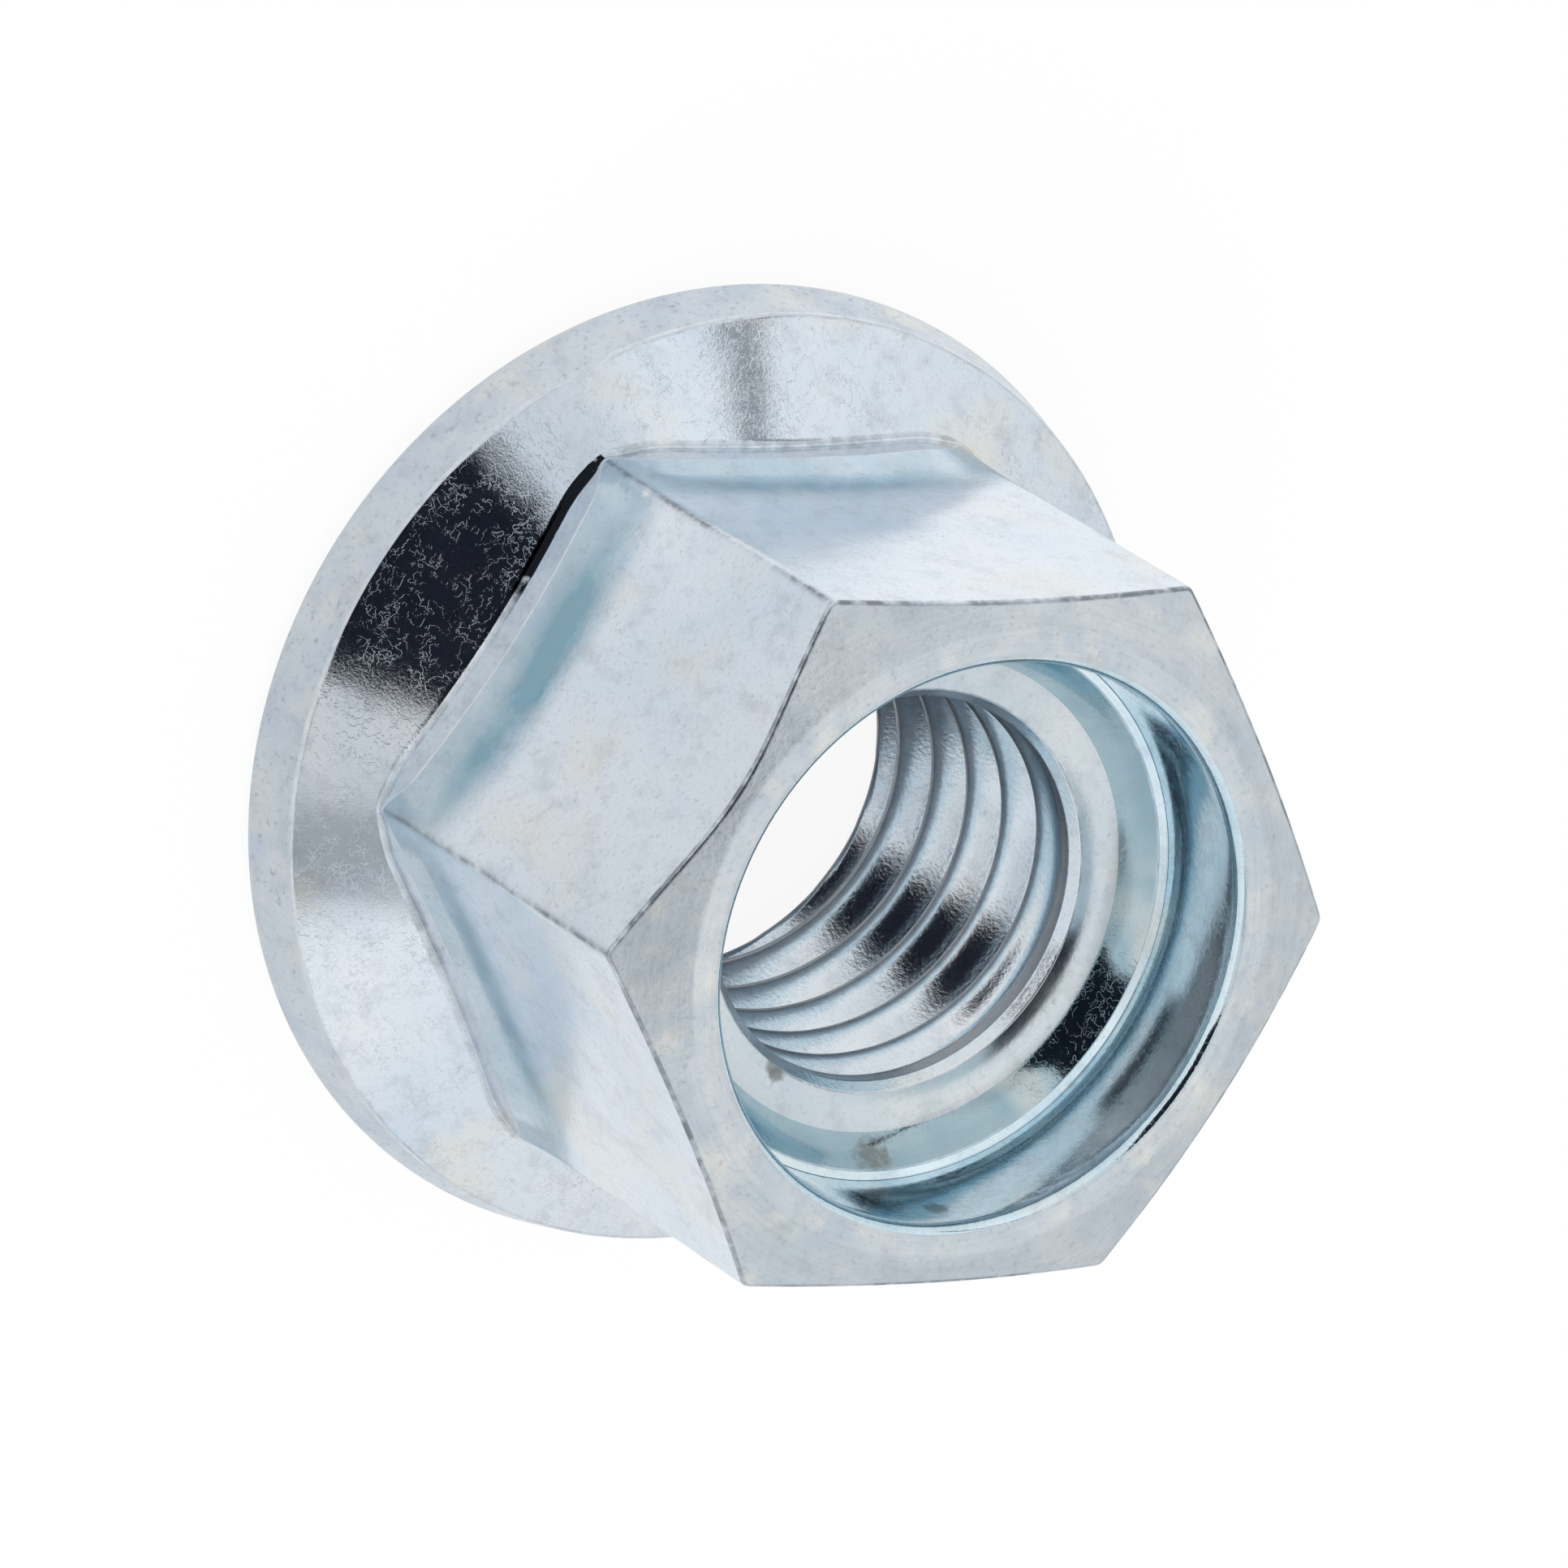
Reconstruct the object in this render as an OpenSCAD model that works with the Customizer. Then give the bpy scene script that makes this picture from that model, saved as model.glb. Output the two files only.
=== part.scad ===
// Flange nut M10, one solid piece of zinc-plated steel with a stepped recess in its crown.
// Z is the thread axis, from the bearing face up to the crown. Z = 0 is the bearing face.
// X points through one corner of the hexagon. All lengths are in millimetres.

/* [Hexagon] */
// width of the hexagon from flat to flat
across_flats = 15; // [14.7:0.05:15]
// diameter that blunts the six upright corners
corner_diameter = 17.2; // [16.7:0.05:17.3]
// height of the whole nut
total_height = 13.3; // [12.8:0.1:13.5]

/* [Crown] */
// diameter of the narrow flat ring round the mouth, where the crown cone begins
crown_ring_diameter = 13.7; // [13:0.05:14.5]
// slope of the crown cone below level, in degrees
crown_slope = 21; // [15:0.5:30]

/* [Flange] */
// widest diameter of the flange
flange_diameter = 21.2; // [20.5:0.1:21.8]
// radius of the rolled rim
rim_radius = 0.7; // [0.4:0.05:0.9]
// diameter of the crease where the rim band meets the cone
crease_diameter = 20.7; // [20:0.1:21.2]
// height of that crease over the bearing face
crease_height = 1.95; // [1.5:0.05:2.3]
// slope of the flange cone below level, in degrees
cone_slope = 26; // [15:0.5:30]

/* [Foot of the hexagon] */
// how far the hollow fillet carries the foot out from each flat
foot_step = 0.3; // [0.1:0.02:0.6]
// height of the foot's upper edge at the middle of each flat
foot_height = 4; // [3.5:0.05:4.5]
// height of the hollow fillet over that edge
fillet_rise = 1.65; // [1:0.05:2.2]
// radius of the bow of the foot's upper edge, seen square to a flat
foot_bow_radius = 16.5; // [10:0.5:30]

/* [Recess] */
// diameter of the upper bore of the recess
recess_diameter = 12.3; // [12:0.05:12.8]
// radius of the rounded lip at the mouth
lip_radius = 0.2; // [0.05:0.05:0.3]
// height of the bottom end of the upper bore
shoulder_height = 10.32; // [9.5:0.01:11]
// diameter where the narrow shoulder ends and the taper begins
taper_diameter = 11.9; // [11.6:0.05:12.2]
// height where the taper begins
taper_height = 10.25; // [9.6:0.01:10.8]
// diameter of the level floor
floor_diameter = 10.4; // [9.6:0.05:11.4]
// height of the level floor
floor_height = 9.6; // [9:0.05:10]

/* [Threaded hole] */
// diameter of the hole at the thread's crests
hole_diameter = 8.5; // [8.38:0.01:8.67]
// diameter of the small chamfer on the recess floor
floor_chamfer_diameter = 8.9; // [8.7:0.05:10]
// height of the small chamfer on the recess floor
floor_chamfer_height = 0.2; // [0.1:0.05:0.6]
// diameter of the countersink in the bearing face
countersink_diameter = 10.5; // [10.1:0.05:10.8]
// depth of the countersink in the bearing face
countersink_depth = 1; // [0.5:0.05:1.2]

/* [Display] */
// which piece is drawn

/* [Hidden] */
$fn = 180;
zinc = "#c6d0d6";
half_flats = across_flats / 2;
corner_reach = across_flats / sqrt(3);
fillet_radius = (fillet_rise * fillet_rise + foot_step * foot_step) / (2 * foot_step);
bow_centre = foot_height - foot_bow_radius;
fillet_start = foot_bow_radius + fillet_rise;
// heights of the fillet's two ends at the corners of the hexagon
corner_side = corner_reach / 2;
corner_low = bow_centre + sqrt(foot_bow_radius * foot_bow_radius - corner_side * corner_side);
corner_high = bow_centre + sqrt(fillet_start * fillet_start - corner_side * corner_side);
blunting = corner_reach - corner_diameter / 2;
crown_ring_radius = crown_ring_diameter / 2;
crease_radius = crease_diameter / 2;
rim_centre = flange_diameter / 2 - rim_radius;
// the rim band leaves the rolled rim on a tangent that ends at the crease
band_run = crease_radius - rim_centre;
band_rise = crease_height - rim_radius;
band_angle = atan2(band_rise, band_run) - acos(rim_radius / sqrt(band_run * band_run + band_rise * band_rise));
recess_radius = recess_diameter / 2;
past = 1;

// everything inward of one flat and of the hollow fillet at its foot
// the fillet and the foot's edge are bowed about a level line square to the flat
module one_side() {
    translate([0, 0, bow_centre])
        rotate([0, 90, 0])
            rotate_extrude()
                difference() {
                    polygon([
                        [0, -flange_diameter],
                        [2 * flange_diameter, -flange_diameter],
                        [2 * flange_diameter, half_flats],
                        [fillet_start, half_flats],
                        [foot_bow_radius, half_flats + foot_step],
                        [0, half_flats + foot_step]
                    ]);
                    translate([fillet_start, half_flats + fillet_radius])
                        circle(r = fillet_radius);
                }
}

// hexagon with its filleted foot, blunted corners and a crown cone
module hexagon_body() {
    intersection() {
        rotate([0, 0, 30]) one_side();
        rotate([0, 0, 90]) one_side();
        rotate([0, 0, 150]) one_side();
        rotate([0, 0, 210]) one_side();
        rotate([0, 0, 270]) one_side();
        rotate([0, 0, 330]) one_side();
        rotate_extrude()
            polygon([
                [0, 0],
                [corner_reach + foot_step / cos(30) - blunting, 0],
                [corner_reach + foot_step / cos(30) - blunting, corner_low],
                [corner_reach + foot_step / cos(30) / 4 - blunting, (corner_low + corner_high) / 2],
                [corner_reach - blunting, corner_high],
                [corner_reach - blunting, total_height - (corner_reach - blunting - crown_ring_radius) * tan(crown_slope)],
                [crown_ring_radius, total_height],
                [0, total_height]
            ]);
    }
}

// round flange with a rolled rim, a short band above it and a cone rising to the foot
module flange() {
    rotate_extrude()
        union() {
            polygon([
                [0, 0],
                [rim_centre, 0],
                [rim_centre, rim_radius],
                [rim_centre + rim_radius * cos(band_angle), rim_radius + rim_radius * sin(band_angle)],
                [crease_radius, crease_height],
                [half_flats - past, crease_height + (crease_radius - half_flats + past) * tan(cone_slope)],
                [0, crease_height + (crease_radius - half_flats + past) * tan(cone_slope)]
            ]);
            translate([rim_centre, rim_radius])
                circle(r = rim_radius);
        }
}

// upper bore with a rounded lip, a narrow shoulder, a taper and the level floor
module recess() {
    rotate_extrude()
        difference() {
            polygon([
                [0, floor_height],
                [floor_diameter / 2, floor_height],
                [taper_diameter / 2, taper_height],
                [recess_radius, shoulder_height],
                [recess_radius, total_height - lip_radius],
                [recess_radius + lip_radius, total_height - lip_radius],
                [recess_radius + lip_radius, total_height + past],
                [0, total_height + past]
            ]);
            translate([recess_radius + lip_radius, total_height - lip_radius])
                circle(r = lip_radius);
        }
}

// plain hole at the thread's crests, chamfered at the floor and countersunk in the bearing face
module threaded_hole() {
    translate([0, 0, -past])
        cylinder(h = total_height + 2 * past, d = hole_diameter);
    translate([0, 0, floor_height - floor_chamfer_height])
        cylinder(h = floor_chamfer_height, d1 = hole_diameter, d2 = floor_chamfer_diameter);
    rotate_extrude()
        polygon([
            [0, -past],
            [countersink_diameter / 2 + past * (countersink_diameter - hole_diameter) / 2 / countersink_depth, -past],
            [hole_diameter / 2, countersink_depth],
            [0, countersink_depth]
        ]);
}

// the whole nut, forged and machined from one blank
module flange_nut() {
    color(zinc)
        difference() {
            union() {
                hexagon_body();
                flange();
            }
            recess();
            threaded_hole();
        }
}

flange_nut();
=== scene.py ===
"""Zinc-plated M10 flange nut standing on its bearing face on a pale floor.

Lengths in the shape functions are millimetres and angles are radians. Z is the
thread's axis, the bearing face is at Z = 0, and X points through one corner of
the hexagon. The nut is one closed surface: a section is carried round the axis,
and the section changes with the azimuth.
"""

import bpy
import numpy as np
from mathutils import Matrix, Vector


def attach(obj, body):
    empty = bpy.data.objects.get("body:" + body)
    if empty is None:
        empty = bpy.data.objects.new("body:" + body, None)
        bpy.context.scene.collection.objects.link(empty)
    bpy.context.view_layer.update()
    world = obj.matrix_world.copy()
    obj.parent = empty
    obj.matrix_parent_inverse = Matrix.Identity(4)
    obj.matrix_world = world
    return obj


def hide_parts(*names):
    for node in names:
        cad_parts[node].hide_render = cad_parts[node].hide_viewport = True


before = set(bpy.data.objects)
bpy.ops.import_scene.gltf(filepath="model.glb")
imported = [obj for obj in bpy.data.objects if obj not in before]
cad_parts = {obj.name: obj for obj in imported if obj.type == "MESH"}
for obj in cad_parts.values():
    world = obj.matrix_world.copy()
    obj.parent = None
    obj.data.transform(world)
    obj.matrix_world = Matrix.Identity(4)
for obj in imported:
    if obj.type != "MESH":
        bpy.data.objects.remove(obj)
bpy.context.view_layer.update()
scene = bpy.context.scene
MM = 0.001

# Sizes of the nut, in millimetres where nothing else is said
# hexagon and crown
HALF_FLATS = 7.5
TOTAL_HEIGHT = 13.3
CROWN_RING = 6.85
CROWN_FALL = np.tan(np.radians(21))
FLAT_LEAN = 0.24
# flange
RIM_CENTRE, RIM_RADIUS = 9.9, 0.7
CREASE_RADIUS, CREASE_HEIGHT = 10.35, 1.95
CONE_FALL = np.tan(np.radians(26))
# foot of the hexagon
FOOT_STEP, FOOT_HEIGHT, FILLET_RISE, BOW_RADIUS = 0.3, 4.0, 1.65, 16.5
STEP_LOSS, EDGE_DIP = 0.7, 0.5
# recess
RECESS_RADIUS, LIP_RADIUS = 6.15, 0.3
SHOULDER_HEIGHT, TAPER_RADIUS, TAPER_HEIGHT = 10.32, 5.95, 10.25
FLOOR_RADIUS, FLOOR_HEIGHT = 5.2, 9.6
# threaded hole, with the run-out under the recess floor and a height on its wall
HOLE_RADIUS, CHAMFER_RADIUS, CHAMFER_HEIGHT = 4.25, 4.45, 0.2
SINK_RADIUS, SINK_DEPTH = 5.25, 1.0
PITCH, THREAD_DEPTH, THREAD_START = 1.5, 0.74, 0.81
RUN_OUT_START, RUN_OUT, HOLE_WALL = 0.1, 1.3, 8.4
CREST_SOFTNESS, ROOT_SOFTNESS = 0.05, 0.006
# rounding of the upright corners, and of the bends from the rim to the hole
CORNER_ROUND, FOOT_ROUND = 0.2, 0.3
CREASE_BEND, FOOT_BASE_BEND, FOOT_EDGE_BEND = 0.12, 0.22, 0.22
CROWN_EDGE_BEND, CROWN_RING_BEND = 0.10, 0.5
SHOULDER_BEND, TAPER_BEND, FLOOR_BEND = 0.03, 0.05, 2.0
MOUTH_BEND, HOLE_BEND = 0.05, 0.05
# azimuth in degrees of the flat that leans in and has the strongest painted reflection in its fillet
LEANING_FLAT = 30
# groove depth where the painted highlight on the thread's crests ends, and width in degrees
# of the edge line on the upright corners: wear on the fillet and flats, a painted highlight on the
# foot
CREST_HIGHLIGHT_DEPTH, CORNER_LINE_WIDTH = 0.22, 0.8
# painted shade line on the cone at the foot's base: azimuth and width in degrees, least and
# added strength, and height over the crease where it begins
SHADE_LINE_AZIMUTH, SHADE_LINE_WIDTH, SHADE_LINE_FAINT, SHADE_LINE_OPEN, SHADE_LINE_RISE = 9, 9, 0.3, 6.0, 0.6
# painted reflection in the fillet, a teal band, in fillet heights over the foot's edge:
# where it is strongest, and how far it reaches below and above
TEAL_PEAK, TEAL_BELOW, TEAL_ABOVE = 0.68, 0.48, 0.32
# even share of the painted teal reflection, the height where it ends, and over how much it fades out
TEAL_EVEN, TEAL_END, TEAL_SOFT = 0.50, 1.2, 0.3

FILLET_RADIUS = (FILLET_RISE ** 2 + FOOT_STEP ** 2) / (2 * FOOT_STEP)
BOW_CENTRE = FOOT_HEIGHT - BOW_RADIUS
FILLET_START = BOW_RADIUS + FILLET_RISE
BAND_RUN, BAND_RISE = CREASE_RADIUS - RIM_CENTRE, CREASE_HEIGHT - RIM_RADIUS
BAND_ANGLE = (np.arctan2(BAND_RISE, BAND_RUN)
              - np.arccos(RIM_RADIUS / np.hypot(BAND_RUN, BAND_RISE)))


# The closed surface
def azimuths(per_half=20, crowding=1.63):
    """Columns round the nut: each half flat has steps that grow as a power of
    the count away from the corner, so the rounded corners get most columns."""
    away = np.radians(30) * (np.arange(per_half + 1) / per_half) ** crowding
    sector = np.concatenate([away, np.radians(60) - away[-2:0:-1]])
    return (sector[None, :] + np.radians(60) * np.arange(6)[:, None]).ravel()


AZIMUTH = azimuths()
FROM_CORNER = np.abs((AZIMUTH + np.radians(30)) % np.radians(60) - np.radians(30))
FROM_FLAT = np.radians(30) - FROM_CORNER
ROUND = np.ones_like(AZIMUTH)


def bell(distance, width):
    """Bell curve: e to the minus square of the distance over the width, with
    the distance in radians and the width in degrees."""
    return np.exp(-(distance / np.radians(width)) ** 2)


def hexagon(half_width, rounding=CORNER_ROUND):
    """Radius of a hexagon at each azimuth: half width over the cosine from the
    flat, and near a corner the far side of a small circle that touches both flats."""
    centre = (half_width - rounding) / np.cos(np.radians(30))
    reach = np.arctan2(rounding * 0.5, centre + rounding * np.cos(np.radians(30)))
    inside = np.clip(rounding ** 2 - (centre * np.sin(FROM_CORNER)) ** 2, 0, None)
    corner = centre * np.cos(FROM_CORNER) + np.sqrt(inside)
    return np.where(FROM_CORNER < reach, corner, half_width / np.cos(FROM_FLAT))


def point(radius, height):
    """One vertex of the section at every azimuth."""
    return np.stack([radius * ROUND, height * ROUND])


def bowed_height(radius, bow):
    """Height of a bow over the bearing face: its centre's height plus the root
    of its radius squared less the distance along the flat squared."""
    along = radius * np.sin(FROM_FLAT)
    return BOW_CENTRE + np.sqrt(bow ** 2 - along ** 2)


def bend(before, at, after, radius, steps=4, margin=0.04, share=0.42):
    """Rows round a bend: a parabola between the two tangent points, with one
    more row on the straight at either side so the flats stay flat. Share is the
    most of either neighbour's length that the bend may take."""
    inwards, onwards = before - at, after - at
    long_in, long_out = np.linalg.norm(inwards, axis=0), np.linalg.norm(onwards, axis=0)
    inwards, onwards = inwards / long_in, onwards / long_out
    half = np.arccos(np.clip((inwards * onwards).sum(0), -1, 1)) / 2
    run = np.minimum(radius / np.tan(half), share * np.minimum(long_in, long_out))
    start, end = at + inwards * run, at + onwards * run
    along = np.linspace(0, 1, steps + 1)[:, None, None]
    curve = (1 - along) ** 2 * start + 2 * along * (1 - along) * at + along ** 2 * end
    extra = np.minimum(margin, 0.05 * np.minimum(long_in, long_out) + 0.01)
    return np.concatenate([(start + inwards * extra)[None], curve,
                           (end + onwards * extra)[None]])


def straight(start, end, steps):
    """Rows strictly between two rows, evenly spaced."""
    along = np.linspace(0, 1, steps + 1)[1:-1, None, None]
    return start + (end - start) * along


def circle_rows(centre_radius, centre_height, radius, first, last, steps):
    """Rows on a circle of the section, from one angle to another."""
    angle = np.linspace(first, last, steps + 1)[:, None]
    return np.stack([centre_radius + radius * np.cos(angle) * ROUND,
                     centre_height + radius * np.sin(angle) * ROUND], axis=1)


def hollow_fillet(out, dip, steps=12):
    """Rows up the hollow fillet: a circle that starts on the foot's edge and
    touches the flat at its upper end, its height bowed as the foot's edge is."""
    angles = np.linspace(np.arcsin(FILLET_RISE / FILLET_RADIUS), 0, steps + 1)
    rows = []
    for step, angle in enumerate(angles):
        left = 1 - step / steps
        radius = hexagon(HALF_FLATS + FILLET_RADIUS * (1 - np.cos(angle)) * out,
                         CORNER_ROUND + (FOOT_ROUND - CORNER_ROUND) * left)
        height = bowed_height(radius, FILLET_START - FILLET_RADIUS * np.sin(angle))
        rows.append(np.stack([radius, height - dip * left]))
    return np.array(rows)


def thread_rows(top, spacing=0.05):
    """Right-hand thread seen from the hole: at each height and azimuth the
    distance from the middle of the nearest crest, along the axis, gives the
    groove: a rounded crest, then 30 degree flanks down to a rounded root. The
    groove fades out below the recess floor, and the countersink cuts its lower end."""
    height = np.linspace(top, 0, int(round(top / spacing)) + 1)[:, None]
    turn = (height / PITCH - AZIMUTH[None] / (2 * np.pi) + THREAD_START) % 1.0
    from_crest = np.abs(turn - 0.5) * PITCH
    flank = np.sqrt(from_crest ** 2 + CREST_SOFTNESS) - np.sqrt(CREST_SOFTNESS)
    groove = flank / np.tan(np.radians(30))
    past_root = groove - THREAD_DEPTH
    groove = groove - 0.5 * (past_root + np.sqrt(past_root ** 2 + ROOT_SOFTNESS))
    fade = np.clip((top - RUN_OUT_START - height) / RUN_OUT, 0, 1)
    groove = np.clip(groove, 0, None) * fade * fade * (3 - 2 * fade)
    sink = SINK_RADIUS + (HOLE_RADIUS - SINK_RADIUS) * height / SINK_DEPTH
    radius = np.maximum(HOLE_RADIUS + groove, sink * np.ones_like(groove))
    return np.stack([radius, height * np.ones_like(groove)], axis=1), groove


def zone(name, block, edge=0.0, fade=""):
    """A finish's name, its rows, and how much each row belongs to an edge line,
    which is wear on dark grey edges, a painted highlight on pale ones and painted
    shade on near-black ones.
    """
    amount = np.full(block.shape[0], edge)
    if "first" in fade:
        amount[0] = 0
    if "last" in fade:
        amount[-1] = 0
    return name, block, amount


def nut_section():
    """All zones of the section, from the bearing face outwards, up the flange,
    the foot, the flat and the crown, and down the recess and the thread."""
    # the foot's step fades at the corners, where its edge dips on to the cone
    out = 1 - STEP_LOSS * bell(FROM_CORNER, 5)
    dip = EDGE_DIP * bell(FROM_CORNER, 4)
    foot, side = hexagon(HALF_FLATS + FOOT_STEP * out, FOOT_ROUND), hexagon(HALF_FLATS)
    # one flat leans in a little under the crown
    across_flat = np.clip((AZIMUTH - np.radians(LEANING_FLAT)) * 3, -np.pi / 2, np.pi / 2)
    top_side = side - FLAT_LEAN * np.cos(across_flat) ** 2

    band_top = circle_rows(RIM_CENTRE, RIM_RADIUS, RIM_RADIUS, BAND_ANGLE, BAND_ANGLE, 1)[0]
    crease = point(CREASE_RADIUS, CREASE_HEIGHT)
    wall_low = np.stack([foot, CREASE_HEIGHT + (CREASE_RADIUS - foot) * CONE_FALL])
    wall_top = np.stack([foot, bowed_height(foot, BOW_RADIUS) - dip])
    fillet = hollow_fillet(out, dip)
    crown_edge = np.stack([top_side, TOTAL_HEIGHT - (top_side - CROWN_RING) * CROWN_FALL])
    ring = point(CROWN_RING, TOTAL_HEIGHT)
    lip_out = point(RECESS_RADIUS + LIP_RADIUS, TOTAL_HEIGHT)
    bore_top = point(RECESS_RADIUS, TOTAL_HEIGHT - LIP_RADIUS)
    bore_low = point(RECESS_RADIUS, SHOULDER_HEIGHT)
    taper_top = point(TAPER_RADIUS, TAPER_HEIGHT)
    floor_out = point(FLOOR_RADIUS, FLOOR_HEIGHT)
    floor_in = point(CHAMFER_RADIUS, FLOOR_HEIGHT)
    hole_top = point(HOLE_RADIUS, FLOOR_HEIGHT - CHAMFER_HEIGHT)

    rim = circle_rows(RIM_CENTRE, RIM_RADIUS, RIM_RADIUS, -np.pi / 2, BAND_ANGLE, 14)
    crease_bend = bend(band_top, crease, wall_low, CREASE_BEND)
    wall_bend = bend(crease, wall_low, wall_top, FOOT_BASE_BEND, steps=6)
    foot_bend = bend(wall_low, wall_top, fillet[3], FOOT_EDGE_BEND, steps=5)
    crown_bend = bend(fillet[-1], crown_edge, ring, CROWN_EDGE_BEND)
    ring_bend = bend(crown_edge, ring, lip_out, CROWN_RING_BEND, steps=5)
    lip = circle_rows(RECESS_RADIUS + LIP_RADIUS, TOTAL_HEIGHT - LIP_RADIUS, LIP_RADIUS,
                      np.pi / 2, np.pi, 8)
    shoulder_bend = bend(bore_top, bore_low, taper_top, SHOULDER_BEND)
    taper_bend = bend(bore_low, taper_top, floor_out, TAPER_BEND)
    floor_bend = bend(taper_top, floor_out, floor_in, FLOOR_BEND, steps=10, share=0.85)
    mouth_bend = bend(floor_out, floor_in, hole_top, MOUTH_BEND)
    hole_bend = bend(floor_in, hole_top, point(HOLE_RADIUS, HOLE_WALL), HOLE_BEND)
    thread, groove = thread_rows(hole_bend[-1][1, 0])

    zones = [
        zone("underside", straight(thread[-1], rim[0], 9)),
        # flange
        zone("rim", rim),
        zone("rim", straight(rim[-1], crease_bend[0], 4)),
        # painted highlight: a pale line along the crease, through the rim's edge colour
        zone("rim", crease_bend[:4], 0.6, "first"),
        # painted dark reflection: a near-black line on the cone along the crease, through the cone's
        # edge colour
        zone("cone", crease_bend[4:], 0.2, "last"),
        zone("cone", straight(crease_bend[-1], wall_bend[0], 12)),
        # painted shade: a near-black line in the joint of the cone and the foot
        zone("cone", wall_bend[:8], 0.9, "first"),
        # foot, fillet and flats
        zone("foot", wall_bend[8:]),
        zone("foot", straight(wall_bend[-1], foot_bend[0], 4)),
        # painted highlight: a pale line on the foot's rounded top edge, through the foot's edge colour
        zone("foot", foot_bend[:5], 1.0, "first"),
        zone("fillet", foot_bend[5:]),
        zone("fillet", fillet[4:]),
        zone("flats", straight(fillet[-1], crown_bend[0], 14)),
        zone("flats", crown_bend[:4], 1.0, "first"),
        # crown
        zone("crown", crown_bend[4:], 1.0, "last"),
        zone("crown", straight(crown_bend[-1], ring_bend[0], 4)),
        zone("crown", ring_bend),
        zone("crown", straight(ring_bend[-1], lip[0], 3)),
        zone("crown", lip[:2]),
        # recess
        zone("bore", lip[2:]),
        zone("bore", straight(lip[-1], shoulder_bend[0], 9)),
        zone("bore", shoulder_bend),
        # painted highlight: a pale line on the bend from the shoulder to the taper
        zone("taper", taper_bend, 0.5, "first last"),
        zone("taper", straight(taper_bend[-1], floor_bend[0], 5)),
        zone("taper", floor_bend[:5]),
        zone("recess_floor", floor_bend[5:]),
        zone("recess_floor", straight(floor_bend[-1], mouth_bend[0], 5)),
        zone("recess_floor", mouth_bend[:4], 0.6, "first"),
        # threaded hole
        # painted highlight: a pale line round the hole's mouth, through the thread's edge colour
        zone("thread", mouth_bend[4:], 0.6, "last"),
        zone("thread", hole_bend[:-1], 0.4, "first"),
        zone("thread", thread),
    ]
    return zones, groove


FINISH_ORDER = ("underside", "rim", "cone", "foot", "fillet", "flats", "crown", "bore",
                "taper", "recess_floor", "thread")


def upright_rows(finish):
    """Which rows belong to the foot, the fillet and the flats."""
    upright = [FINISH_ORDER.index(name) for name in ("foot", "fillet", "flats")]
    return np.isin(finish, upright)[:, None]


def edge_wear_and_painted_light_amounts(edge, finish, radius, height, groove):
    """How much each vertex belongs to an edge line: wear where the finish's edge
    colour is dark grey, a painted highlight where it is pale and painted shade
    where it is near black. On the thread it is 1 less the groove's depth over a
    small width, fading where the countersink cuts it: a painted highlight on the
    crests. The painted shade line on the cone at the foot's base is the rows'
    share times a bell curve of the azimuth, black beside one corner and faint
    elsewhere. An upright corner counts 1, falling evenly to nothing a little way round."""
    turns = groove.shape[0]
    # painted highlight on the thread's crests, through the thread's pale edge colour
    uncut = np.clip((SINK_RADIUS + 0.2 - radius[-turns:]) / 0.3, 0, 1)
    edge[-turns:] = np.clip(1 - groove / CREST_HIGHLIGHT_DEPTH, 0, 1) * uncut
    # painted shade in the joint of the cone and the foot's base, strongest beside one corner
    on_cone = (finish == FINISH_ORDER.index("cone"))[:, None]
    painted_shade_rows = on_cone & (height > CREASE_HEIGHT + SHADE_LINE_RISE)
    opened = SHADE_LINE_FAINT + SHADE_LINE_OPEN * bell(AZIMUTH - np.radians(SHADE_LINE_AZIMUTH), SHADE_LINE_WIDTH)
    edge = np.where(painted_shade_rows, edge * opened, edge)
    corner = np.clip(1 - FROM_CORNER / np.radians(CORNER_LINE_WIDTH), 0, 1)[None]
    return np.where(upright_rows(finish), np.maximum(edge, corner), edge)


def painted_fillet_reflection(finish, radius, height):
    """How much painted teal reflection each vertex gets: a bell curve of the height
    over the foot's edge, in fillet heights, that is weaker at the corners and
    strongest on one flat, over an even share that ends above the fillet."""
    along = np.clip(np.sin(FROM_FLAT)[None] * radius, 0, 4.6)
    over_foot = height - (BOW_CENTRE + np.sqrt(BOW_RADIUS ** 2 - along ** 2))
    part = over_foot / FILLET_RISE
    reach = np.where(part < TEAL_PEAK, TEAL_BELOW, TEAL_ABOVE)
    run = np.exp(-((part - TEAL_PEAK) / reach) ** 2)
    run = run * (0.45 + 0.55 * np.clip(FROM_CORNER / np.radians(14), 0, 1)[None])
    run = run * (0.9 + 0.7 * bell(AZIMUTH - np.radians(LEANING_FLAT), 24))
    run = np.maximum(run, TEAL_EVEN * np.clip((TEAL_END - part) / TEAL_SOFT, 0, 1))
    return np.where(upright_rows(finish), run, 0)


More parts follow.
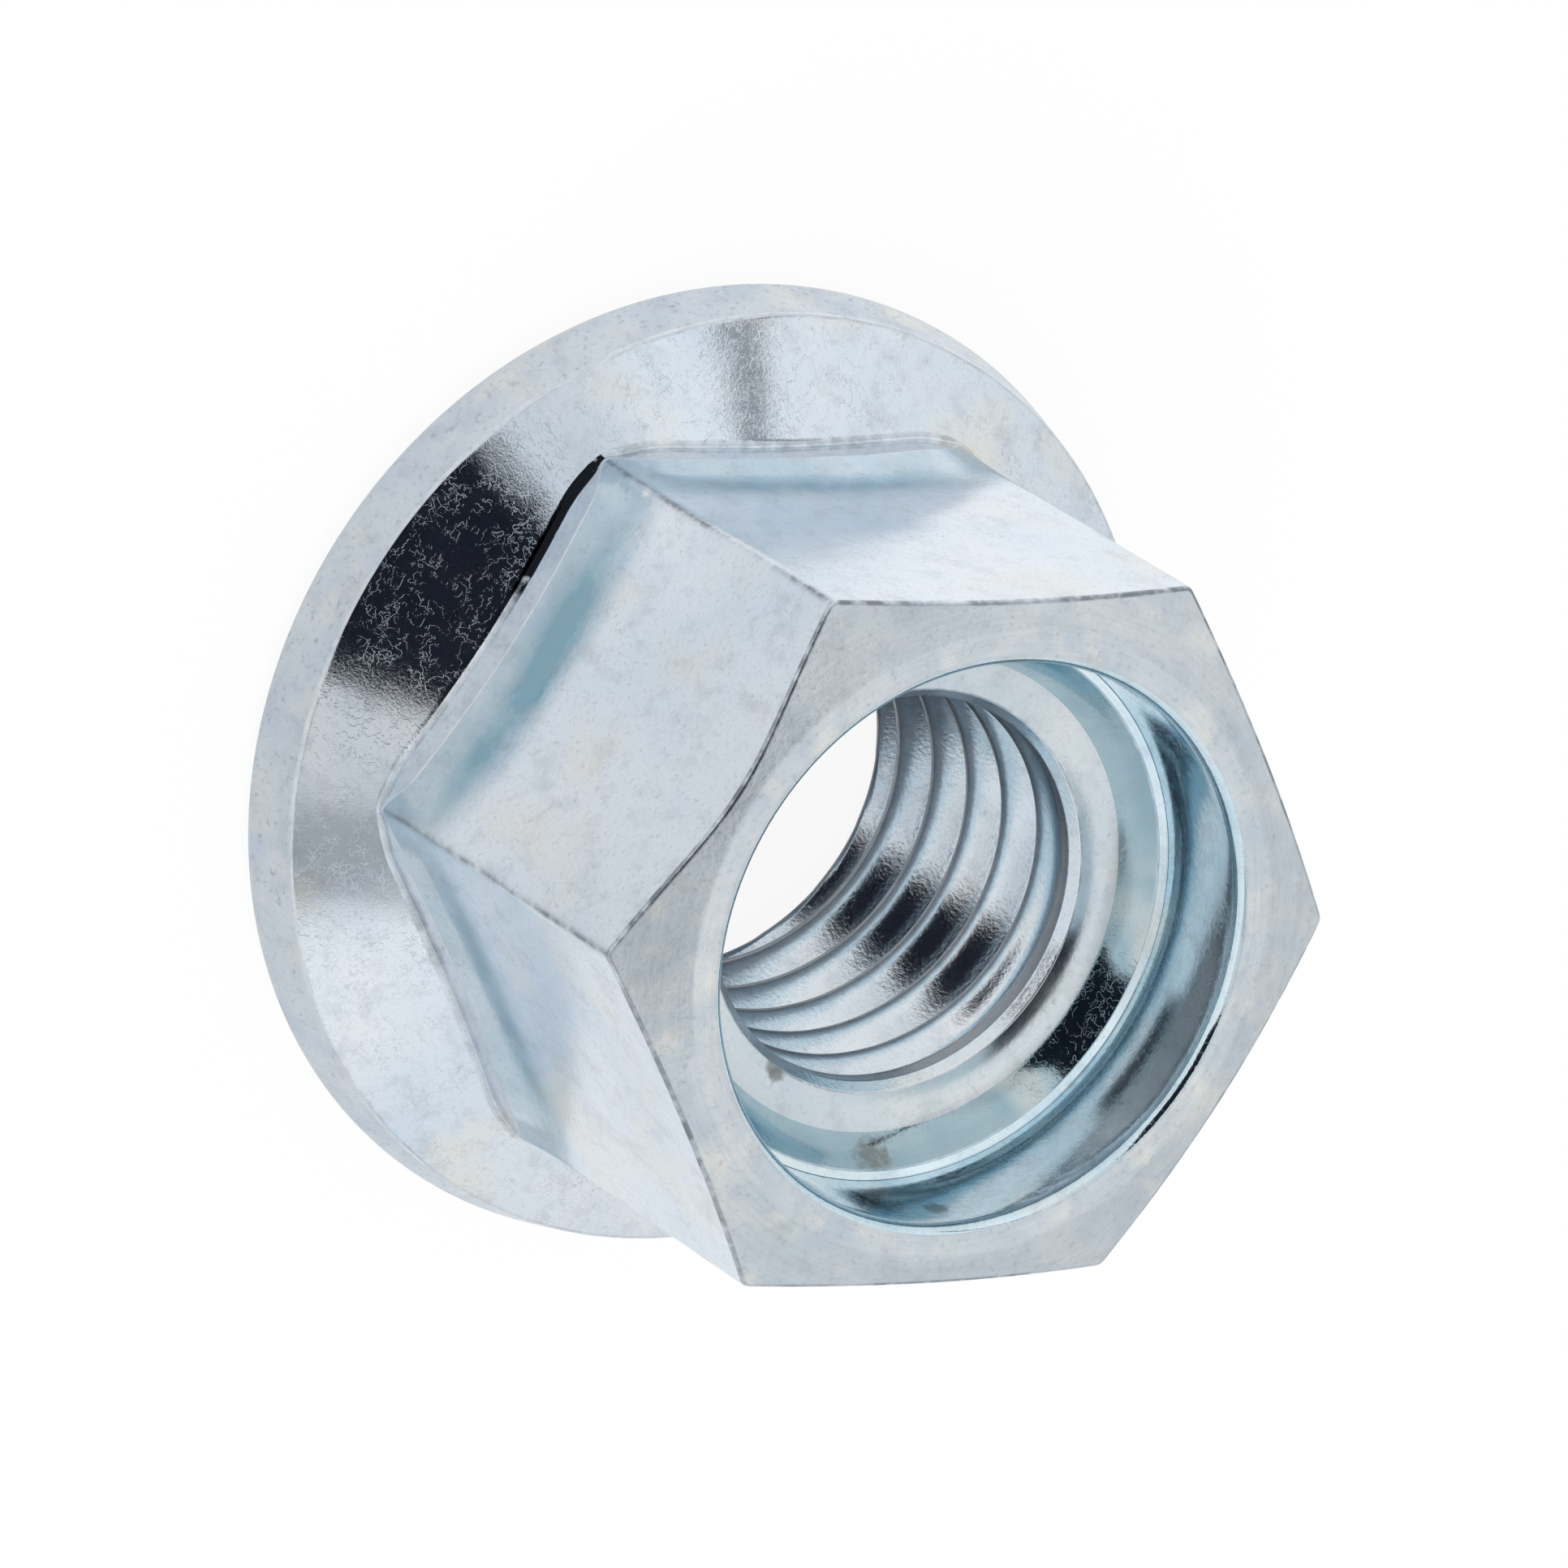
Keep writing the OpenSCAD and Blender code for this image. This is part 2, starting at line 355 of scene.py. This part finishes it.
def flange_nut_mesh():
    """Section rows carried round the axis: x = r cos a, y = r sin a. The last
    row joins the first, and the last column joins the first, so the surface is
    one closed ring with no open edge."""
    zones, groove = nut_section()
    names, blocks, amounts = zip(*zones)
    section = np.concatenate(blocks)
    edge = np.concatenate(amounts)[:, None] * np.ones((1, AZIMUTH.size))
    finish = np.repeat([FINISH_ORDER.index(name) for name in names],
                       [block.shape[0] for block in blocks])
    rows, columns = section.shape[0], AZIMUTH.size
    radius, height = section[:, 0], section[:, 1]
    place = np.stack([radius * np.cos(AZIMUTH), radius * np.sin(AZIMUTH), height], axis=-1)
    row, column = np.meshgrid(np.arange(rows), np.arange(columns), indexing="ij")
    next_row, next_column = (row + 1) % rows, (column + 1) % columns
    faces = np.stack([row * columns + column, row * columns + next_column,
                      next_row * columns + next_column, next_row * columns + column],
                     axis=-1).reshape(-1, 4)

    mesh = bpy.data.meshes.new("flange_nut_plated")
    mesh.vertices.add(rows * columns)
    mesh.vertices.foreach_set("co", (place * MM).astype(np.float32).ravel())
    mesh.loops.add(faces.size)
    mesh.loops.foreach_set("vertex_index", faces.astype(np.int32).ravel())
    mesh.polygons.add(len(faces))
    mesh.polygons.foreach_set("loop_start", np.arange(0, faces.size, 4, dtype=np.int32))
    mesh.polygons.foreach_set("material_index", np.repeat(finish, columns).astype(np.int32))
    mesh.polygons.foreach_set("use_smooth", np.ones(len(faces), dtype=bool))
    mesh.update(calc_edges=True)
    # edge lines hold wear, painted highlight and painted shade, by each finish's edge colour; the
    # fillet's teal band is a painted reflection
    for name, values in (("edge_wear_and_painted_light", edge_wear_and_painted_light_amounts(edge, finish, radius, height, groove)),
                         ("fillet_painted_reflection", painted_fillet_reflection(finish, radius, height))):
        layer = mesh.attributes.new(name, "FLOAT", "POINT")
        layer.data.foreach_set("value", values.astype(np.float32).ravel())
    mesh.validate()
    return mesh


# Node trees
class Nodes:
    """A node tree with short calls for the nodes that finishes and studio share."""

    def __init__(self, tree):
        self.tree = tree
        tree.nodes.clear()

    def node(self, kind, **settings):
        made = self.tree.nodes.new(kind)
        for key, value in settings.items():
            setattr(made, key, value)
        return made

    def feed(self, target, source):
        """Joins a socket to the target, or sets the target's own value."""
        if isinstance(source, bpy.types.NodeSocket):
            self.tree.links.new(source, target)
        else:
            target.default_value = source

    def math(self, operation, first, second=0.0):
        made = self.node("ShaderNodeMath", operation=operation)
        self.feed(made.inputs[0], first)
        self.feed(made.inputs[1], second)
        return made.outputs["Value"]

    def measure(self, operation, first, second=(0, 0, 0)):
        """Vector sum that ends in one number: length, distance or dot product."""
        made = self.node("ShaderNodeVectorMath", operation=operation)
        self.feed(made.inputs[0], first)
        self.feed(made.inputs[1], second)
        return made.outputs["Value"]

    def spread(self, value, low, high, to_low, to_high, kind="LINEAR"):
        """Stretches a value's range, clamped at both ends."""
        made = self.node("ShaderNodeMapRange", interpolation_type=kind)
        self.feed(made.inputs["Value"], value)
        made.inputs["From Min"].default_value = low
        made.inputs["From Max"].default_value = high
        made.inputs["To Min"].default_value = to_low
        made.inputs["To Max"].default_value = to_high
        return made.outputs["Result"]

    def either(self, amount, first, second):
        """Blend of two numbers."""
        made = self.node("ShaderNodeMix", data_type="FLOAT")
        for socket, source in zip((made.inputs[0], made.inputs[2], made.inputs[3]),
                                  (amount, first, second)):
            self.feed(socket, source)
        return made.outputs[0]

    def blend(self, amount, first, second):
        """Blend of two colours."""
        made = self.node("ShaderNodeMix", data_type="RGBA")
        self.feed(made.inputs[0], amount)
        for socket, source in ((made.inputs[6], first), (made.inputs[7], second)):
            given = isinstance(source, bpy.types.NodeSocket)
            self.feed(socket, source if given else (*source, 1.0))
        return made.outputs[2]


# Zinc finishes
class Finish(Nodes):
    """A plated finish: a metal shader and the marks that shape its surface."""

    def __init__(self, name):
        self.material = bpy.data.materials.new(name)
        self.material.use_nodes = True
        super().__init__(self.material.node_tree)
        self.shader = self.node("ShaderNodeBsdfPrincipled")
        self.shader.inputs["Metallic"].default_value = 1.0
        output = self.node("ShaderNodeOutputMaterial")
        self.feed(output.inputs["Surface"], self.shader.outputs["BSDF"])
        self.where = self.node("ShaderNodeTexCoord").outputs["Object"]

    def noise(self, where, size, detail):
        made = self.node("ShaderNodeTexNoise")
        self.feed(made.inputs["Vector"], where)
        made.inputs["Scale"].default_value = 1.0 / (size * MM)
        made.inputs["Detail"].default_value = detail
        return made

    def grain(self, size, detail=3.0, rough=0.55, stretch=(1, 1, 1), offset=(0, 0, 0)):
        """Noise whose blotches are about size millimetres wide."""
        mapping = self.node("ShaderNodeMapping")
        mapping.inputs["Scale"].default_value = stretch
        mapping.inputs["Location"].default_value = offset
        self.feed(mapping.inputs["Vector"], self.where)
        noise = self.noise(mapping.outputs["Vector"], size, detail)
        noise.inputs["Roughness"].default_value = rough
        return noise.outputs["Fac"]

    def lathe(self, size, detail=2.0):
        """Noise on the distance from the axis and the height, as the marks of a
        turning tool lie, with a slow change round the axis."""
        split = self.node("ShaderNodeSeparateXYZ")
        self.feed(split.inputs[0], self.where)
        x, y, z = split.outputs
        flat = self.node("ShaderNodeCombineXYZ")
        self.feed(flat.inputs["X"], x)
        self.feed(flat.inputs["Y"], y)
        turned = self.node("ShaderNodeCombineXYZ")
        self.feed(turned.inputs["X"], self.measure("LENGTH", flat.outputs["Vector"]))
        self.feed(turned.inputs["Y"], z)
        self.feed(turned.inputs["Z"], self.math("MULTIPLY", self.math("ARCTAN2", y, x), 0.4 * MM))
        return self.noise(turned.outputs["Vector"], size, detail).outputs["Fac"]

    def hairs(self, size, strength, offset=(0, 0, 0)):
        """Fine curly scratches: the narrow band where a noise crosses its middle,
        kept only here and there."""
        crossing = self.math("SUBTRACT", self.grain(size, 2.5, 0.6, offset=offset), 0.5)
        band = self.spread(self.math("ABSOLUTE", crossing), 0.0, 0.016, 1.0, 0.0)
        kept = self.spread(self.grain(size * 2.2, 2.0, offset=(0.4, 0.2, 0.6)),
                           0.42, 0.60, 0.0, strength)
        return self.math("MULTIPLY", band, kept)

    def stain(self, centre, reach):
        """Ragged blotch round a place: its distance in millimetres, broken up by
        fine noise, against the blotch's reach."""
        away = self.measure("DISTANCE", self.where, [value * MM for value in centre])
        near = self.spread(away, 0.0, reach * MM, 1.0, 0.0)
        return self.spread(self.math("ADD", near, self.grain(0.22, 4.0, 0.65)),
                           0.74, 1.06, 0.0, 0.8)

    def attribute(self, name):
        return self.node("ShaderNodeAttribute", attribute_name=name).outputs["Fac"]

    def relief(self, height, depth, under=None):
        """Bump of the given depth in millimetres, over another where given."""
        bump = self.node("ShaderNodeBump")
        bump.inputs["Strength"].default_value = 1.0
        bump.inputs["Distance"].default_value = depth * MM
        self.feed(bump.inputs["Height"], height)
        if under is not None:
            self.feed(bump.inputs["Normal"], under)
        return bump.outputs["Normal"]


PALE_ZINC = (0.78, 0.825, 0.865)
BLUE_ZINC = (0.62, 0.715, 0.80)
# painted reflection: this teal stands in for the reflection on the hexagon's fillet
PAINTED_REFLECTION_TEAL = (0.26, 0.44, 0.54)
STRAW_ZINC = (0.82, 0.81, 0.74)
WORN_EDGE = (0.24, 0.27, 0.31)
DULL_SPECK = (0.36, 0.40, 0.45)
STAIN = (0.20, 0.21, 0.20)
# widths of the marks that all the finishes share, and depths of the hairs and ridges,
# in millimetres
RUN_PATCH, MOTTLE, HAIR, FINE_HAIR = 1.4, 0.6, 0.35, 0.2
TOOL_LINE, TOOL_BAND, TOOL_RIDGE, BAND_PATCH = 0.07, 0.55, 0.09, 0.9
WEAR_CHIP, WEAR_STRETCH, GLOSS_PATCH, WAVE_WIDTH = 0.4, 2.6, 1.1, 2.2
HAIR_DEPTH, RIDGE_DEPTH = 0.0016, 0.004


def plated(name, base=PALE_ZINC, second=BLUE_ZINC, patch=4.0, straw=0.55, run=0.0,
           speck=0.35, speck_size=0.16, scratch=0.2, turned=0.0, stains=(), stain_colour=STAIN,
           edge=0.9, edge_colour=WORN_EDGE, edge_dulling=0.0,
           rough=(0.16, 0.30), wave=0.03, grain=0.006):
    """Zinc plating with a pale passivation. Base and second are two tints in
    patches of the given size, and straw, run, speck, scratch, turned and edge
    say how strong the yellow tint, the painted teal reflection in the fillet, the
    dull specks, the scratches, the tool marks and the edge lines are. The edge
    lines are wear where the edge colour is dark grey, a painted highlight where it
    is pale and painted shade where it is near black. Rough is the range of the
    roughness, and wave and grain are depths of relief in millimetres."""
    zinc = Finish(name)
    # tints in soft patches
    colour = zinc.blend(zinc.spread(zinc.grain(patch, 2.0), 0.35, 0.68, 0.0, 1.0), base, second)
    warm = zinc.spread(zinc.grain(patch * 0.8, 2.0, offset=(0.31, 0.17, 0.05)), 0.54, 0.74, 0.0, straw)
    colour = zinc.blend(warm, colour, STRAW_ZINC)
    # painted reflection: a teal band laid into the fillet's colour, strongest on the leaning flat
    if run:
        uneven = zinc.spread(zinc.grain(RUN_PATCH, 4.0, 0.62), 0.32, 0.62, 0.6 * run, run)
        teal = zinc.math("MULTIPLY", zinc.attribute("fillet_painted_reflection"), uneven)
        colour = zinc.blend(teal, colour, PAINTED_REFLECTION_TEAL)
    # mottling, specks and scratches
    mottle = zinc.grain(MOTTLE, 5.0, 0.66, stretch=(1, 1, 0.7), offset=(0.2, 0.9, 0.5))
    colour = zinc.blend(zinc.spread(mottle, 0.50, 0.68, 0.0, 0.26), colour, DULL_SPECK)
    specks = zinc.grain(speck_size, 4.0, 0.62)
    speck_cover = zinc.spread(specks, 0.56, 0.72, 0.0, speck)
    colour = zinc.blend(speck_cover, colour, DULL_SPECK)
    marks = zinc.math("MAXIMUM", zinc.hairs(HAIR, scratch),
                      zinc.hairs(FINE_HAIR, scratch, (0.2, 0.1, 0.3)))
    colour = zinc.blend(marks, colour, DULL_SPECK)
    # dark lines and pale bands of the turning tool
    if turned:
        lines = zinc.spread(zinc.lathe(TOOL_LINE), 0.40, 0.66, 0.0, turned)
        colour = zinc.blend(lines, colour, DULL_SPECK)
        bands = zinc.spread(zinc.lathe(TOOL_BAND, 3.0), 0.45, 0.62, 0.0, 1.3 * turned)
        patchy = zinc.spread(zinc.grain(BAND_PATCH, 3.0), 0.35, 0.6, 0.2, 1.0)
        colour = zinc.blend(zinc.math("MULTIPLY", bands, patchy), colour, PALE_ZINC)
    for x, y, z, reach in stains:
        colour = zinc.blend(zinc.stain((x, y, z), reach), colour, stain_colour)
    # edge lines, in chips, that come and go along the edge: wear where the edge colour is
    # dark grey, a painted highlight where it is pale, painted shade where it is near black
    line = zinc.attribute("edge_wear_and_painted_light")
    fitful = zinc.spread(zinc.grain(WEAR_STRETCH, 2.0, offset=(0.7, 0.1, 0.3)), 0.36, 0.62, 0.35, 1.35)
    chips = zinc.spread(zinc.grain(WEAR_CHIP, 4.0), 0.36, 0.58, 0.2 * edge, edge)
    ragged = zinc.math("MULTIPLY", zinc.math("MULTIPLY", line, chips), fitful)
    zinc.feed(zinc.shader.inputs["Base Color"], zinc.blend(ragged, colour, edge_colour))
    # gloss
    dull = zinc.spread(zinc.grain(GLOSS_PATCH, 4.0, 0.6), 0.3, 0.7, rough[0], rough[1])
    dull = zinc.math("ADD", dull, zinc.math("MULTIPLY", speck_cover, 0.25))
    if edge_dulling:
        dull = zinc.math("ADD", dull, zinc.math("MULTIPLY", line, edge_dulling))
    zinc.feed(zinc.shader.inputs["Roughness"], dull)
    # relief
    normal = zinc.relief(zinc.grain(WAVE_WIDTH, 1.0), wave)
    if turned:
        normal = zinc.relief(zinc.lathe(TOOL_RIDGE), RIDGE_DEPTH * turned, normal)
    normal = zinc.relief(specks, grain, normal)
    zinc.feed(zinc.shader.inputs["Normal"], zinc.relief(marks, HAIR_DEPTH, normal))
    return zinc.material


# places of the marks that show best: x, y, z and reach in millimetres
CORNER_CHIPS = ((8.8, 0.1, 4.8, 0.35), (8.8, 0.2, 6.8, 0.28))
BORE_SMUDGE = (-5.5, 2.8, 12.2, 0.45)
TAPER_SMUDGE = (-5.1, 3.0, 9.8, 0.80)
FLOOR_SMUDGES = ((-2.0, 3.9, 9.6, 0.42), TAPER_SMUDGE, (-2.2, 4.0, 9.6, 0.30))
BARE_CHIP = (0.95, 0.96, 0.98)


def nut_finishes():
    """One finish for each zone, in the order of FINISH_ORDER."""
    rim_tint = dict(base=(0.70, 0.755, 0.815), second=(0.58, 0.665, 0.76))
    # run sets the strength of the painted teal reflection in the fillet
    flat_tint = dict(base=(0.795, 0.86, 0.935), second=(0.70, 0.80, 0.90), run=0.95)
    recess_marks = dict(grain=0.002, wave=0.01, turned=0.06, speck=0.2)
    return [
        plated("zinc_underside", rough=(0.28, 0.42), turned=0.5, **rim_tint),
        # the rim's pale edge colour paints a highlight along the crease
        plated("zinc_rim", patch=1.8, rough=(0.22, 0.40), grain=0.014, wave=0.09, speck=0.6,
               edge_colour=(0.90, 0.92, 0.95), **rim_tint),
        # the cone's near-black edge colour paints shade in the joint at the foot's base and a dark
        # reflection line along the crease
        plated("zinc_cone", base=(0.81, 0.86, 0.91), second=(0.68, 0.775, 0.87), straw=0.8,
               rough=(0.03, 0.07), grain=0.0014, wave=0.025, speck=0.22, speck_size=0.06,
               scratch=0.5, edge=0.95, edge_colour=(0.012, 0.014, 0.018)),
        # the foot's pale edge colour paints a highlight on its rounded top edge and corners
        plated("zinc_foot", second=(0.74, 0.79, 0.84), rough=(0.08, 0.14), grain=0.003,
               wave=0.02, edge_colour=(0.88, 0.90, 0.93)),
        plated("zinc_fillet", rough=(0.08, 0.14), grain=0.003, wave=0.02,
               stains=CORNER_CHIPS, stain_colour=BARE_CHIP, **flat_tint),
        plated("zinc_flats", rough=(0.07, 0.12), grain=0.002, wave=0.015, speck=0.4,
               speck_size=0.11, **flat_tint),
        plated("zinc_crown", base=(0.64, 0.69, 0.725), second=(0.55, 0.62, 0.68), patch=1.4,
               straw=0.7, rough=(0.20, 0.32), grain=0.008, turned=0.16, speck=0.5),
        plated("zinc_bore", base=(0.76, 0.90, 0.97), second=(0.58, 0.77, 0.87), patch=3.0,
               rough=(0.05, 0.10), scratch=0.3, edge_colour=(0.86, 0.89, 0.92),
               stains=(BORE_SMUDGE,), **recess_marks),
        # painted reflection: the dark teal tint stands in for the reflection in the recess's bowl; the
        # pale edge colour paints a highlight on the shoulder's bend
        plated("zinc_taper", base=(0.40, 0.54, 0.60), second=(0.26, 0.42, 0.50), patch=2.5,
               rough=(0.05, 0.10), scratch=0.5, edge_colour=(0.80, 0.86, 0.90),
               stains=(TAPER_SMUDGE,), **recess_marks),
        plated("zinc_recess_floor", base=(0.70, 0.75, 0.775), second=(0.55, 0.64, 0.71),
               rough=(0.15, 0.22), grain=0.002, wave=0.004, turned=0.06, speck=0.3,
               stains=FLOOR_SMUDGES),
        # the thread's pale edge colour paints highlights on the crests and round the hole's mouth
        plated("zinc_thread", rough=(0.06, 0.12), grain=0.005, wave=0.02, speck=0.3,
               speck_size=0.09, edge_colour=(0.86, 0.90, 0.94), edge_dulling=0.12),
    ]


def make_nut():
    mesh = flange_nut_mesh()
    for material in nut_finishes():
        mesh.materials.append(material)
    nut = bpy.data.objects.new("flange_nut_plated", mesh)
    scene.collection.objects.link(nut)
    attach(nut, "root")
    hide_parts("flange_nut")


# Studio
# angles in degrees, distance in metres, lens and sensor in millimetres
CAMERA_AIM = Vector((-1.313, -1.499, 1.326)) * MM
CAMERA_AZIMUTH, CAMERA_ELEVATION, CAMERA_ROLL = 30.155, 54.915, -122.427
CAMERA_DISTANCE, CAMERA_LENS, SENSOR_WIDTH = 0.41393, 444.9, 36.0
# half width of the floor and how far it lies under the nut, in metres
FLOOR_HALF, FLOOR_GAP = 2.0, 0.00003
# share of plain white in the floor, and how much of that reflections see
FLOOR_WHITE, REFLECTED_WHITE = 0.92, 0.9
# azimuth, elevation, outer and inner radius in degrees, and the light that is left
DIM_SPOTS = ((110, 59, 9, 3, 0.62), (88, 66, 24, 8, 0.72), (-20, 66, 20, 6, 0.80))


def towards(azimuth, elevation):
    """Unit vector towards an azimuth and elevation in degrees."""
    around, above = np.radians(azimuth), np.radians(elevation)
    return Vector((np.cos(above) * np.cos(around), np.cos(above) * np.sin(around),
                   np.sin(above)))


def facing(position, target, roll=0.0):
    """Placement that looks from a position at a target, turned by roll degrees."""
    forward = (target - position).normalized()
    upright = Vector((0, 0, 1))
    upright = (upright - forward * upright.dot(forward)).normalized()
    right = forward.cross(upright)
    angle = np.radians(roll)
    up = upright * float(np.cos(angle)) + right * float(np.sin(angle))
    side = forward.cross(up)
    turn = Matrix((side, up, -forward)).transposed().to_4x4()
    return Matrix.Translation(position) @ turn


def flat_sheet(name, centre, across, up):
    """Rectangle from its centre and two half widths, vectors in metres."""
    mesh = bpy.data.meshes.new(name)
    mesh.from_pydata([centre - across - up, centre + across - up, centre + across + up,
                      centre - across + up], [], [(0, 1, 2, 3)])
    sheet = bpy.data.objects.new(name, mesh)
    scene.collection.objects.link(sheet)
    return sheet


def sheet_material(sheet, name):
    """New empty material on a sheet."""
    material = bpy.data.materials.new(name)
    material.use_nodes = True
    sheet.data.materials.append(material)
    return Nodes(material.node_tree)


def make_camera():
    camera = bpy.data.cameras.new("camera")
    camera.sensor_fit = "HORIZONTAL"
    camera.sensor_width = SENSOR_WIDTH
    camera.lens = CAMERA_LENS
    camera.clip_start, camera.clip_end = 0.01, 20.0
    holder = bpy.data.objects.new("camera", camera)
    scene.collection.objects.link(holder)
    place = CAMERA_AIM + towards(CAMERA_AZIMUTH, CAMERA_ELEVATION) * CAMERA_DISTANCE
    holder.matrix_world = facing(place, CAMERA_AIM, CAMERA_ROLL)
    scene.camera = holder


def make_floor():
    """Level white sheet. Seen by the camera and in reflections it is mostly plain
    white, and the rest of it takes light, so the nut's soft shadow stays. In
    reflections it darkens under the nut and, slowly, towards one side."""
    floor = flat_sheet("floor", Vector((0, 0, -FLOOR_GAP)), Vector((FLOOR_HALF, 0, 0)),
                       Vector((0, FLOOR_HALF, 0)))
    paper = sheet_material(floor, "white_paper")
    ray = paper.node("ShaderNodeLightPath").outputs
    where = paper.node("ShaderNodeTexCoord").outputs["Object"]
    past_nut = paper.spread(paper.measure("LENGTH", where), 6 * MM, 10 * MM, 0.0, 1.0)
    reflected = paper.math("MULTIPLY", paper.math("MULTIPLY", ray["Is Glossy Ray"], past_nut),
                           REFLECTED_WHITE)
    seen = paper.math("MAXIMUM", ray["Is Camera Ray"], reflected)
    ahead = paper.measure("DOT_PRODUCT", where, (0.5, 0.866, 0.0))
    fading = paper.spread(ahead, -4 * MM, 16 * MM, 1.0, 0.69)
    glow = paper.node("ShaderNodeEmission")
    paper.feed(glow.inputs["Strength"], paper.either(ray["Is Glossy Ray"], 1.0, fading))
    matt = paper.node("ShaderNodeBsdfDiffuse")
    matt.inputs["Color"].default_value = (0.93, 0.93, 0.93, 1)
    mix = paper.node("ShaderNodeMixShader")
    paper.feed(mix.inputs[0], paper.math("MULTIPLY", seen, FLOOR_WHITE))
    paper.feed(mix.inputs[1], matt.outputs[0])
    paper.feed(mix.inputs[2], glow.outputs[0])
    paper.feed(paper.node("ShaderNodeOutputMaterial").inputs["Surface"], mix.outputs[0])


def make_world():
    """Even studio surround, white overhead and a little dimmer at the horizon
    and in the dim spots, and plain white where the camera sees it."""
    world = bpy.data.worlds.new("studio")
    scene.world = world
    world.use_nodes = True
    sky = Nodes(world.node_tree)
    where = sky.node("ShaderNodeTexCoord").outputs["Generated"]
    split = sky.node("ShaderNodeSeparateXYZ")
    sky.feed(split.inputs[0], where)
    strength = sky.spread(split.outputs["Z"], 0.0, 0.9, 0.78, 0.98)
    for azimuth, elevation, outer, inner, left in DIM_SPOTS:
        closeness = sky.measure("DOT_PRODUCT", where, towards(azimuth, elevation))
        spot = sky.spread(closeness, float(np.cos(np.radians(outer))),
                          float(np.cos(np.radians(inner))), 1.0, left, "SMOOTHSTEP")
        strength = sky.math("MULTIPLY", strength, spot)
    direct = sky.node("ShaderNodeLightPath").outputs["Is Camera Ray"]
    back = sky.node("ShaderNodeBackground")
    back.inputs["Color"].default_value = (1, 1, 1, 1)
    sky.feed(back.inputs["Strength"], sky.either(direct, strength, 1.0))
    sky.feed(sky.node("ShaderNodeOutputWorld").inputs["Surface"], back.outputs[0])


def make_lamp(name, azimuth, elevation, distance, size, watts):
    """Round soft lamp, aimed at the nut's middle, that reflections don't show."""
    lamp = bpy.data.lights.new(name, "AREA")
    lamp.shape = "DISK"
    lamp.size = size
    lamp.energy = watts
    holder = bpy.data.objects.new(name, lamp)
    scene.collection.objects.link(holder)
    middle = Vector((0, 0, 6 * MM))
    holder.matrix_world = facing(middle + towards(azimuth, elevation) * distance, middle)
    holder.visible_glossy = False


def make_card(name, direction, distance, half_width, half_height, shade, aside=0.0, above=0.0):
    """Flat studio card square to a direction from the nut, that only shows in
    reflections. Aside and above shift it, as shares of its distance."""
    across = Vector((0, 0, 1)).cross(direction).normalized()
    up = direction.cross(across)
    centre = (direction + across * aside + up * above) * distance
    card = flat_sheet(name, centre, across * half_width, up * half_height)
    card.visible_camera = False
    card.visible_diffuse = False
    card.visible_shadow = False
    felt = sheet_material(card, name)
    glow = felt.node("ShaderNodeEmission")
    glow.inputs["Color"].default_value = (*shade, 1)
    felt.feed(felt.node("ShaderNodeOutputMaterial").inputs["Surface"], glow.outputs[0])


def make_studio():
    """Floor, surround, one soft lamp, a dark board round the camera and a narrow
    grey stand."""
    make_floor()
    make_world()
    make_lamp("key_softbox", 110, 62, 0.9, 0.7, 3.0)
    make_card("camera_board", towards(30, 55), 0.3, 0.084, 0.10, (0.012, 0.014, 0.022),
              aside=-0.04, above=0.065)
    make_card("lamp_stand", towards(-69, 50), 0.6, 0.013, 0.16, (0.07, 0.08, 0.09))


make_nut()
make_camera()
make_studio()
scene.view_settings.view_transform = "Standard"
